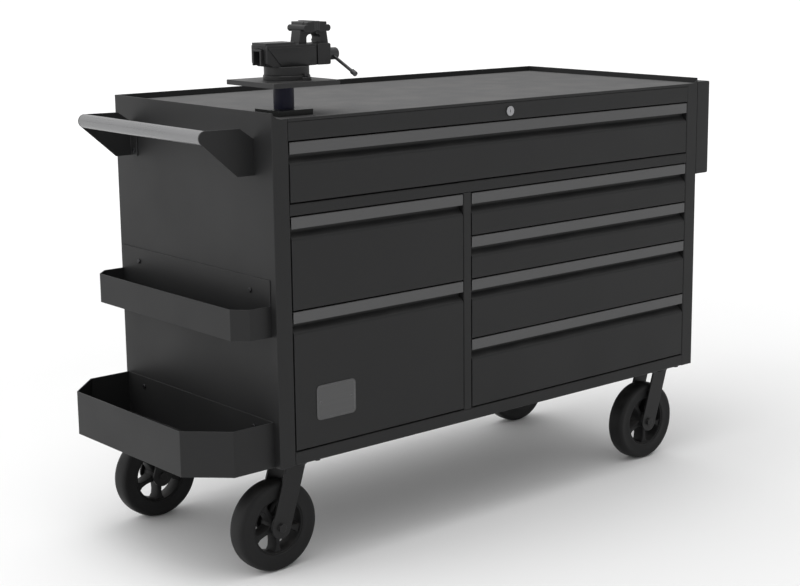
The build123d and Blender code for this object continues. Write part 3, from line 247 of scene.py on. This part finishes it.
# %% Group: settled dust
def make_dust_group():
    """Patchy dust on faces that look up."""
    group, ins, outs = new_group(
        "settled dust",
        [("Amount", "NodeSocketFloat", 0.3), ("Scale", "NodeSocketFloat", 14.0)],
        [("Dust", "NodeSocketFloat")],
    )
    flat = add(group, "ShaderNodeNewGeometry", (-600, 160))
    parts = add(group, "ShaderNodeSeparateXYZ", (-380, 160))
    place = add(group, "ShaderNodeTexCoord", (-900, -200))
    noise = add(group, "ShaderNodeTexNoise", (-600, -160))
    noise.inputs["Detail"].default_value = 6.0
    plug(group, flat.outputs["Normal"], parts.inputs[0])
    plug(group, place.outputs["Object"], noise.inputs["Vector"])
    plug(group, ins.outputs["Scale"], noise.inputs["Scale"])
    upward_face = ramp(group, (-160, 160), parts.outputs["Z"], 0.5, 0.95)
    patch = ramp(group, (-160, -160), noise.outputs["Fac"], 0.4, 0.75)
    both = math_node(group, "MULTIPLY", (100, 0), upward_face, patch)
    settled = math_node(group, "MULTIPLY", (320, 0), both, ins.outputs["Amount"])
    plug(group, settled, outs.inputs["Dust"])
    return group


DUST = make_dust_group()
print("group", DUST.name)


# %% [markdown]
# ## A finish
#
# All the finishes share one skeleton: a Principled shader whose colour is pushed a little by
# a slow noise, by a painted highlight on edges and by dust, whose roughness varies with a second
# noise, and whose normal comes from a Bump node on top of the rounded edges.  The recipe function
# below builds that skeleton, and each finish only gives its numbers.


# %% Build a finish from its numbers
DUST_COLOUR = (0.16, 0.155, 0.15)
STREAK_GLEAM = 1.6
STREAK_SHARE = 0.22


def finish(
    name, colour, roughness, metallic=0.0, specular=0.5, edge_highlight_colour=None, edge_radius=0.0012,
    mottle=0.12, mottle_scale=7.0, grain="noise", grain_scale=900.0, grain_depth=0.00002,
    squeeze=(1.0, 1.0, 1.0), roughness_swing=0.06, dust=0.25,
):
    """A procedural material; lengths are metres and scales are waves per metre."""
    material = bpy.data.materials.new(name)
    material.use_nodes = True
    tree = material.node_tree
    shader = tree.nodes["Principled BSDF"]
    shader.inputs["Metallic"].default_value = metallic
    shader.inputs["Specular IOR Level"].default_value = specular
    place = add(tree, "ShaderNodeTexCoord", (-1500, 0))

    edges = add(tree, "ShaderNodeGroup", (-1200, 500), node_tree=EDGES)
    edges.inputs["Radius"].default_value = edge_radius
    slow = add(tree, "ShaderNodeTexNoise", (-1200, 250))
    slow.inputs["Scale"].default_value = mottle_scale
    slow.inputs["Detail"].default_value = 5.0
    plug(tree, place.outputs["Object"], slow.inputs["Vector"])

    if grain == "streak":
        fine = add(tree, "ShaderNodeGroup", (-1200, -100), node_tree=STREAKS)
        fine.inputs["Squeeze"].default_value = squeeze
        fine.inputs["Scale"].default_value = grain_scale
        height = fine.outputs["Streak"]
    elif grain == "cells":
        fine = add(tree, "ShaderNodeTexVoronoi", (-1200, -100))
        fine.inputs["Scale"].default_value = grain_scale
        plug(tree, place.outputs["Object"], fine.inputs["Vector"])
        height = fine.outputs["Distance"]
    else:
        fine = add(tree, "ShaderNodeTexNoise", (-1200, -100))
        fine.inputs["Scale"].default_value = grain_scale
        fine.inputs["Detail"].default_value = 3.0
        plug(tree, place.outputs["Object"], fine.inputs["Vector"])
        height = fine.outputs["Fac"]

    dark = tuple(v * (1.0 - mottle) for v in colour)
    light = tuple(min(1.0, v * (1.0 + mottle)) for v in colour)
    tone = ramp(tree, (-1040, 250), slow.outputs["Fac"], 0.3, 0.7)
    base = blend_colour(tree, (-900, 250), tone, dark, light)
    if grain == "streak":
        streaked = ramp(tree, (-1040, 60), height, 0.0, 1.0, 0.0, STREAK_SHARE)
        gleam = tuple(min(1.0, v * STREAK_GLEAM) for v in colour)
        base = blend_colour(tree, (-760, 200), streaked, base, gleam)
    # Painted highlight: edges are mixed toward the lighter edge colour.
    if edge_highlight_colour:
        base = blend_colour(tree, (-600, 300), edges.outputs["Edge"], base, edge_highlight_colour)
    if dust:
        settled = add(tree, "ShaderNodeGroup", (-900, 0), node_tree=DUST)
        settled.inputs["Amount"].default_value = dust
        base = blend_colour(tree, (-420, 250), settled.outputs["Dust"], base, DUST_COLOUR)
    plug(tree, base, shader.inputs["Base Color"])

    smooth, rough = roughness - roughness_swing, roughness + roughness_swing
    swing = ramp(tree, (-600, -60), slow.outputs["Fac"], 0.3, 0.7, smooth, rough)
    if grain == "streak":
        fine_swing = ramp(tree, (-600, -220), height, 0.0, 1.0, -roughness_swing, roughness_swing)
        swing = math_node(tree, "ADD", (-420, -100), swing, fine_swing, clamp=True)
    plug(tree, swing, shader.inputs["Roughness"])

    bump = add(tree, "ShaderNodeBump", (-300, -300))
    bump.inputs["Distance"].default_value = grain_depth
    bump.inputs["Strength"].default_value = 1.0
    plug(tree, height, bump.inputs["Height"])
    plug(tree, edges.outputs["Normal"], bump.inputs["Normal"])
    plug(tree, bump.outputs["Normal"], shader.inputs["Normal"])
    return material


print("finish recipe ready")

# %% [markdown]
# ## The finishes of the chest
#
# The cabinet is powder coated: a fine orange peel, half matt, hardly any edge wear.  The
# pulls are dark brushed aluminium with the grain along their length, the handle is a lighter
# drawn tube, the mat is fine-grained rubber, and the casters are black paint and black
# polyurethane.  The vise is painted cast iron, so its grain is coarser and its edges are
# rounder.

# %% Make the finishes
# The lighter edge colour of each finish is a painted highlight along its rounded edges.
FINISHES = {
    "powder_coat": finish(
        "powder coat", (0.0145, 0.0146, 0.0149), 0.5, specular=0.24,
        edge_highlight_colour=(0.055, 0.056, 0.058),
        edge_radius=0.0013, mottle=0.06, mottle_scale=5.0, grain_scale=1300.0, grain_depth=0.000012,
        dust=0.12,
    ),
    "drawer_pull": finish(
        "brushed dark aluminium", (0.09, 0.09, 0.091), 0.42, metallic=0.75,
        edge_highlight_colour=(0.2, 0.2, 0.205),
        edge_radius=0.0012, grain="streak", squeeze=(0.006, 1.0, 1.0), grain_scale=1500.0,
        grain_depth=0.00002, mottle=0.05, roughness_swing=0.07, dust=0.1,
    ),
    "handle_alu": finish(
        "drawn aluminium tube", (0.2, 0.2, 0.203), 0.3, metallic=0.85, edge_highlight_colour=None,
        grain="streak", squeeze=(1.0, 0.006, 1.0), grain_scale=1600.0, grain_depth=0.000025,
        mottle=0.05, roughness_swing=0.06, dust=0.08,
    ),
    "mat": finish(
        "worktop rubber", (0.1, 0.1, 0.101), 0.85, specular=0.15, edge_highlight_colour=(0.12, 0.12, 0.12),
        grain="cells", grain_scale=520.0, grain_depth=0.00022, mottle=0.05, mottle_scale=3.5,
        dust=0.35,
    ),
    "zinc": finish(
        "zinc plate", (0.45, 0.46, 0.48), 0.3, metallic=1.0, edge_highlight_colour=(0.6, 0.6, 0.62),
        grain="streak",
        squeeze=(1.0, 0.01, 1.0), grain_scale=900.0, mottle=0.12, mottle_scale=30.0, dust=0.1,
    ),
    "black_steel": finish(
        "black paint on steel", (0.008, 0.008, 0.0083), 0.42, specular=0.28,
        edge_highlight_colour=(0.035, 0.035, 0.036),
        edge_radius=0.0016, grain_scale=700.0, grain_depth=0.00002, dust=0.3,
    ),
    "wheel": finish(
        "black polyurethane", (0.0088, 0.0088, 0.0091), 0.56, specular=0.22,
        edge_highlight_colour=(0.018, 0.018, 0.018),
        edge_radius=0.0012, grain_scale=420.0, grain_depth=0.00005, mottle=0.2, mottle_scale=25.0,
        dust=0.35,
    ),
    "fastener": finish(
        "black oxide", (0.035, 0.035, 0.037), 0.38, metallic=0.9, edge_highlight_colour=(0.16, 0.16, 0.17),
        edge_radius=0.0006, grain_scale=1600.0, dust=0.1,
    ),
    "lock": finish(
        "satin chrome", (0.3, 0.3, 0.31), 0.28, metallic=1.0, edge_highlight_colour=(0.8, 0.8, 0.82),
        edge_radius=0.0006, grain_scale=1400.0, grain_depth=0.000004, mottle=0.04,
        roughness_swing=0.03, dust=0.0,
    ),
    "vise_iron": finish(
        "painted cast iron", (0.0125, 0.0126, 0.013), 0.46, specular=0.28,
        edge_highlight_colour=(0.05, 0.05, 0.052),
        edge_radius=0.0022, grain_scale=330.0, grain_depth=0.00016, mottle=0.15, mottle_scale=30.0,
        dust=0.3,
    ),
    "vise_post": finish(
        "navy gloss paint", (0.0042, 0.0046, 0.017), 0.4, specular=0.14,
        edge_highlight_colour=(0.02, 0.02, 0.05),
        edge_radius=0.001, grain_scale=300.0, grain_depth=0.00003, dust=0.1,
    ),
    "vise_plate": finish(
        "painted plate", (0.018, 0.0181, 0.0185), 0.48, specular=0.28,
        edge_highlight_colour=(0.06, 0.06, 0.06),
        edge_radius=0.0014, grain_scale=500.0, grain_depth=0.00004, mottle=0.1, mottle_scale=18.0,
        dust=0.4,
    ),
    "jaw_steel": finish(
        "blackened jaw steel", (0.03, 0.03, 0.031), 0.45, metallic=0.6,
        edge_highlight_colour=(0.12, 0.12, 0.125),
        edge_radius=0.0008, grain="cells", grain_scale=700.0, grain_depth=0.0003, dust=0.1,
    ),
    "spindle_steel": finish(
        "turned steel", (0.05, 0.05, 0.052), 0.4, metallic=0.8, edge_highlight_colour=(0.15, 0.15, 0.155),
        edge_radius=0.001, grain="streak", squeeze=(1.0, 0.05, 0.05), grain_scale=1200.0, dust=0.1,
    ),
}
print("finishes:", ", ".join(sorted(FINISHES)))

# %% [markdown]
# ## Two paints on the pedestal
#
# The pedestal is one welding, but its square foot has the grey of the top plate and only the
# round post is navy.  The height of a point above the floor tells which paint it takes.

# %% Paint the foot grey
FOOT_HEIGHT = 0.0119
FOOT_GREY = (0.0165, 0.017, 0.0167)
PAINT_BORDER = 0.0004
FOOT_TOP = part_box("vise_pedestal")[0][2] + FOOT_HEIGHT
post_tree = FINISHES["vise_post"].node_tree
post_shader = post_tree.nodes["Principled BSDF"]
navy = post_shader.inputs["Base Color"].links[0].from_socket
where = add(post_tree, "ShaderNodeTexCoord", (-900, 700))
heights = add(post_tree, "ShaderNodeSeparateXYZ", (-700, 700))
plug(post_tree, where.outputs["Object"], heights.inputs[0])
foot_share = ramp(
    post_tree, (-500, 700), heights.outputs["Z"], FOOT_TOP, FOOT_TOP + PAINT_BORDER
)
two_paints = blend_colour(post_tree, (-200, 500), foot_share, FOOT_GREY, navy)
plug(post_tree, two_paints, post_shader.inputs["Base Color"])
print("foot is grey below", round(FOOT_TOP, 4))

# %% [markdown]
# ## Dress the measured parts
#
# Each measured part names the finish that it takes, so one loop gives every part its
# material.  The parts themselves are never moved.

# %% Give each part its finish
for part in frame["record"]["subparts"]:
    mesh = frame["nodes"][part["node"]].data
    mesh.materials.clear()
    mesh.materials.append(FINISHES[part["material_slot"]])

# %% [markdown]
# ## Tools for new pieces
#
# A new piece starts as an empty bmesh.  Round things are a closed section spun about an axis,
# flat things are an outline pushed to a thickness and then bevelled.  Another helper turns
# the bmesh into an object that rides on its body, and can stand for the measured part.


# %% Spin, push, round and keep
AXES = {"x": Vector((1, 0, 0)), "y": Vector((0, 1, 0)), "z": Vector((0, 0, 1))}


def spun(bm, section, centre, axis, steps=96):
    """Spins a closed section of (radius, along) points about an axis through a centre."""
    along = AXES[axis]
    out = AXES["z"] if axis != "z" else AXES["x"]
    verts = [bm.verts.new(centre + out * r + along * a) for r, a in section]
    edges = [bm.edges.new((verts[i - 1], verts[i])) for i in range(len(verts))]
    bmesh.ops.spin(
        bm, geom=verts + edges, cent=centre, axis=along, angle=math.tau, steps=steps,
        use_merge=True, use_duplicate=False,
    )


def pushed(bm, outline, plane, start, end):
    """Pushes a flat outline from start to end along the axis that its plane leaves out."""
    order = {"xz": lambda a, b, c: (a, c, b), "xy": lambda a, b, c: (a, b, c)}[plane]
    face = bm.faces.new([bm.verts.new(order(a, b, start)) for a, b in outline])
    result = bmesh.ops.extrude_face_region(bm, geom=[face])
    moved = [g for g in result["geom"] if isinstance(g, bmesh.types.BMVert)]
    bmesh.ops.translate(bm, verts=moved, vec=Vector(order(0, 0, end - start)))
    return list({f for v in moved for f in v.link_faces} | {face})


def rounded(bm, faces, width, segments=3, sharper_than=25):
    """Bevels the sharp edges of some faces."""
    bmesh.ops.recalc_face_normals(bm, faces=faces)
    limit = math.radians(sharper_than)
    shared = {e for f in faces for e in f.edges if len(e.link_faces) == 2}
    edges = [e for e in shared if e.calc_face_angle(0.0) > limit]
    bmesh.ops.bevel(
        bm, geom=edges, offset=width, offset_type="OFFSET", affect="EDGES", segments=segments,
        profile=0.5, material=-1, clamp_overlap=True,
    )


def kept(bm, name, body, slot, stands_for=(), sharp=32):
    """Makes the finished piece: smooth faces, sharp creases, its finish and its body."""
    bmesh.ops.remove_doubles(bm, verts=bm.verts, dist=1e-6)
    bmesh.ops.recalc_face_normals(bm, faces=bm.faces)
    for face in bm.faces:
        face.smooth = True
    mesh = bpy.data.meshes.new(name)
    bm.to_mesh(mesh)
    bm.free()
    mesh.set_sharp_from_angle(angle=math.radians(sharp))
    mesh.materials.append(FINISHES[slot])
    piece = bpy.data.objects.new(name, mesh)
    bpy.context.collection.objects.link(piece)
    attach(piece, body)
    if stands_for:
        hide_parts(*stands_for)
    print(name, len(mesh.polygons), "faces on", body)
    return piece


def middle(node):
    """Centre of a measured part's box."""
    low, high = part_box(node)
    return (Vector(low) + Vector(high)) / 2


print("piece helpers ready")

# %% [markdown]
# ## The wheels
#
# Each wheel is a tyre of polyurethane on a moulded core with five broad blades.  The tyre is
# a ring with round shoulders and a shallow dish in its side, so its section is spun about the
# axle.  The core's rim and hub are spun in the same way, and one blade is pushed from an
# outline that widens at both ends, rounded, and turned about the axle five times.

# %% Sections of the tyre, rim and hub
TYRE_SECTION = [
    (0.0625, 0.0195), (0.0640, 0.0215), (0.0665, 0.0222), (0.0700, 0.0216),
    (0.0790, 0.0214), (0.0860, 0.0222), (0.0905, 0.0230), (0.0945, 0.0222),
    (0.0975, 0.0196), (0.0992, 0.0150), (0.1000, 0.0080),
]
RIM_SECTION = [
    (0.0630, 0.0190), (0.0612, 0.0202), (0.0596, 0.0192),
    (0.0590, 0.0165), (0.0578, 0.0080), (0.0574, 0.0),
]
HUB_SECTION = [
    (0.0062, 0.0264), (0.0150, 0.0264), (0.0164, 0.0250),
    (0.0170, 0.0215), (0.0190, 0.0160), (0.0198, 0.0),
]


RIM_SEAT = (0.0632, 0.0188)


def both_sides(section):
    """Completes a half section with its mirror image."""
    return section + [(r, -a) for r, a in reversed(section) if a > 0]


tyre_loop = both_sides(TYRE_SECTION)
rim_loop = [RIM_SEAT] + both_sides(RIM_SECTION) + [(RIM_SEAT[0], -RIM_SEAT[1])]
hub_loop = both_sides(HUB_SECTION)
print("tyre section", len(tyre_loop), "points, rim", len(rim_loop), "hub", len(hub_loop))


# %% One blade of the core
BLADE_EDGE = [
    (0.0170, 0.0088), (0.0250, 0.0060), (0.0380, 0.0048), (0.0500, 0.0062), (0.0590, 0.0115),
]
BLADE_HALF_DEPTH = 0.0165
BLADE_ROUND = 0.0022


def blade(bm, centre, turn):
    """A broad blade between hub and rim, waisted in the middle and thick at both ends."""
    outline = BLADE_EDGE + [(radius, -half) for radius, half in reversed(BLADE_EDGE)]
    before = set(bm.verts)
    faces = pushed(bm, outline, "xz", -BLADE_HALF_DEPTH, BLADE_HALF_DEPTH)
    rounded(bm, faces, BLADE_ROUND, segments=3)
    fresh = [v for v in bm.verts if v not in before]
    bmesh.ops.rotate(bm, verts=fresh, cent=(0, 0, 0), matrix=Matrix.Rotation(turn, 3, "Y"))
    bmesh.ops.translate(bm, verts=fresh, vec=centre)


print("blade outline", 2 * len(BLADE_EDGE), "points")

# %% Four tyres and four cores
CORNERS = ("front_left", "front_right", "rear_left", "rear_right")
BLADES = 5
FIRST_BLADE = 18
TYRE_STEPS, RIM_STEPS, HUB_STEPS = 128, 96, 64
for corner in CORNERS:
    node = "wheel_" + corner
    centre = middle(node)
    bm = bmesh.new()
    spun(bm, tyre_loop, centre, "y", steps=TYRE_STEPS)
    kept(bm, "tyre_" + corner, node, "wheel", stands_for=[node])
    bm = bmesh.new()
    spun(bm, rim_loop, centre, "y", steps=RIM_STEPS)
    spun(bm, hub_loop, centre, "y", steps=HUB_STEPS)
    for i in range(BLADES):
        blade(bm, centre, math.radians(FIRST_BLADE + 360 / BLADES * i))
    kept(bm, "wheel_core_" + corner, node, "wheel", stands_for=[node])

# %% [markdown]
# ## Cheeks and clamp of the vise
#
# The vise's body is a casting with a thicker front half.  The step between the two halves
# runs down at a slant on each side, so a thin cheek is pushed from its outline and rounded.
# A small hexagon nut on each lug of the base clamps the vise once it has been turned.

# %% Two cheeks on the body
CHEEK = [(0.0035, 0.0385), (0.0370, 0.0), (0.1225, 0.0), (0.1225, 0.0385)]
CHEEK_LIFT = 0.0005
CHEEK_SUNK, CHEEK_PROUD = 0.001, 0.0018
CHEEK_ROUND = 0.0007
BODY_HALF = 0.027
tail_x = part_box("vise_body")[0][0]
floor_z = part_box("vise_jaw")[0][2] + CHEEK_LIFT
jaw_centre = middle("vise_jaw")
bm = bmesh.new()
for side in (-1, 1):
    outline = [(tail_x + dx, floor_z + dz) for dx, dz in CHEEK]
    inner = jaw_centre.y + side * (BODY_HALF - CHEEK_SUNK)
    outer = jaw_centre.y + side * (BODY_HALF + CHEEK_PROUD)
    faces = pushed(bm, outline, "xz", inner, outer)
    rounded(bm, faces, CHEEK_ROUND, segments=2)
kept(bm, "vise_cheeks", "vise_body", "vise_iron")

# %% Two clamp nuts on the base
base_low, base_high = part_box("vise_swivel_base")
swivel_x = (base_low[0] + base_high[0]) / 2
NUT = {"ahead": 0.012, "out": 0.0515, "radius": 0.0044, "bottom": 0.0068, "top": 0.0135}
bm = bmesh.new()
for side in (-1, 1):
    centre_x, centre_y = swivel_x + NUT["ahead"], jaw_centre.y + side * NUT["out"]
    turns = [math.radians(60 * i) for i in range(6)]
    outline = [
        (centre_x + NUT["radius"] * math.cos(t), centre_y + NUT["radius"] * math.sin(t))
        for t in turns
    ]
    faces = pushed(bm, outline, "xy", base_low[2] + NUT["bottom"], base_low[2] + NUT["top"])
    rounded(bm, faces, 0.0005, segments=2)
kept(bm, "vise_clamp_nuts", "root", "fastener")

# %% [markdown]
# ## A blank badge
#
# The lower left drawer carries a thin pressed plate held by two rivets.  It is left blank.
# Its rim stands up around a sunken field, which an inset and a small push give.

# %% Badge and rivets
BADGE = {"x": (-0.4955, -0.3915), "z": (0.331, 0.407), "corner": 0.010, "depth": 0.0014}
BADGE_SUNK = 0.0002
RIM_WIDTH, RIM_WALL = 0.0035, 0.0006
ARC_STEPS = 6
RIVET_INSET = 0.011
RIVET = [(0.0, -0.0002), (0.0026, -0.0002), (0.0024, 0.0008), (0.0015, 0.0013), (0.0, 0.0014)]
front_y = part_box("drawer_left_lower")[0][1]
bm = bmesh.new()
(x0, x1), (z0, z1), corner = BADGE["x"], BADGE["z"], BADGE["corner"]
arcs = (
    (x1 - corner, z1 - corner, 0), (x0 + corner, z1 - corner, 90),
    (x0 + corner, z0 + corner, 180), (x1 - corner, z0 + corner, 270),
)
outline = []
for cx, cz, start in arcs:
    for step in range(ARC_STEPS + 1):
        turn = math.radians(start + 90 / ARC_STEPS * step)
        outline.append((cx + corner * math.cos(turn), cz + corner * math.sin(turn)))
faces = pushed(bm, outline, "xz", front_y + BADGE_SUNK, front_y - BADGE["depth"])
bmesh.ops.recalc_face_normals(bm, faces=faces)
front = [f for f in bm.faces if f.normal.y < -0.9]
bmesh.ops.inset_region(bm, faces=front, thickness=RIM_WIDTH, depth=0.0)
bmesh.ops.inset_region(bm, faces=front, thickness=RIM_WALL, depth=-RIM_WALL)
for rivet_x in (x0 + RIVET_INSET, x1 - RIVET_INSET):
    centre = Vector((rivet_x, front_y - BADGE["depth"] + RIM_WALL, (z0 + z1) / 2))
    spun(bm, [(r, -a) for r, a in RIVET], centre, "y", steps=24)
kept(bm, "blank_badge", "drawer_left_lower", "drawer_pull")

# %% [markdown]
# ## The stage
#
# The chest stands in a white studio: a pale floor that runs out of sight, with a painted glow
# that brightens it with distance, and light from all round, strongest from above and the left.
# A world light whose strength depends on direction gives the broad soft light, and two large
# lamps add the gleam along the handle and the pulls.

# %% Floor
FLOOR_HALF = 300.0
FLOOR_TONE = (0.86, 0.86, 0.86, 1.0)
GLOW_NEAR, GLOW_FAR, GLOW = 1.6, 5.0, 0.24
floor_bm = bmesh.new()
bmesh.ops.create_grid(floor_bm, x_segments=1, y_segments=1, size=FLOOR_HALF)
floor_mesh = bpy.data.meshes.new("floor")
floor_bm.to_mesh(floor_mesh)
floor_bm.free()
floor = bpy.data.objects.new("floor", floor_mesh)
bpy.context.collection.objects.link(floor)
floor_paint = bpy.data.materials.new("studio floor")
floor_paint.use_nodes = True
floor_shader = floor_paint.node_tree.nodes["Principled BSDF"]
floor_shader.inputs["Base Color"].default_value = FLOOR_TONE
floor_shader.inputs["Roughness"].default_value = 0.75
floor_shader.inputs["Specular IOR Level"].default_value = 0.1
floor_tree = floor_paint.node_tree
spot = add(floor_tree, "ShaderNodeTexCoord", (-900, 0))
reach = add(floor_tree, "ShaderNodeVectorMath", (-700, 0), operation="LENGTH")
plug(floor_tree, spot.outputs["Object"], reach.inputs[0])
# Painted light: the floor glows more the farther it lies from the chest, and not at all near it.
glow = ramp(floor_tree, (-500, 0), reach.outputs["Value"], GLOW_NEAR, GLOW_FAR, 0.0, GLOW)
floor_shader.inputs["Emission Color"].default_value = (1.0, 1.0, 1.0, 1.0)
plug(floor_tree, glow, floor_shader.inputs["Emission Strength"])
floor_mesh.materials.append(floor_paint)
print("floor laid")

# %% World light
world = bpy.data.worlds.new("studio")
bpy.context.scene.world = world
world.use_nodes = True
sky = world.node_tree
way = add(sky, "ShaderNodeTexCoord", (-900, 0))
split = add(sky, "ShaderNodeSeparateXYZ", (-700, 0))
plug(sky, way.outputs["Generated"], split.inputs[0])
overhead = ramp(sky, (-500, 200), split.outputs["Z"], -0.05, 0.9, 0.7, 1.1)
from_left = ramp(sky, (-500, -60), split.outputs["X"], 0.5, -0.9, 0.0, 0.35)
from_front = ramp(sky, (-500, -320), split.outputs["Y"], 0.1, -0.9, 0.0, -0.4)
total = math_node(sky, "ADD", (-260, 100), overhead, from_left)
total = math_node(sky, "ADD", (-80, 60), total, from_front)
plug(sky, total, sky.nodes["Background"].inputs["Strength"])
sky.nodes["Background"].inputs["Color"].default_value = (1.0, 1.0, 1.0, 1.0)
print("world light set")


# %% Lamps
def lamp(name, place, target, size, power):
    """A square soft lamp aimed at a point."""
    data = bpy.data.lights.new(name, "AREA")
    data.shape, data.size, data.energy = "SQUARE", size, power
    item = bpy.data.objects.new(name, data)
    item.location = place
    item.rotation_euler = (Vector(target) - Vector(place)).to_track_quat("-Z", "Y").to_euler()
    bpy.context.collection.objects.link(item)


lamp("overhead lamp", (-1.0, -0.3, 3.6), (0.0, 0.0, 0.7), 2.2, 30.0)
lamp("left lamp", (-3.6, 0.8, 2.2), (-0.5, 0.0, 0.6), 1.6, 12.0)
print("lamps placed")
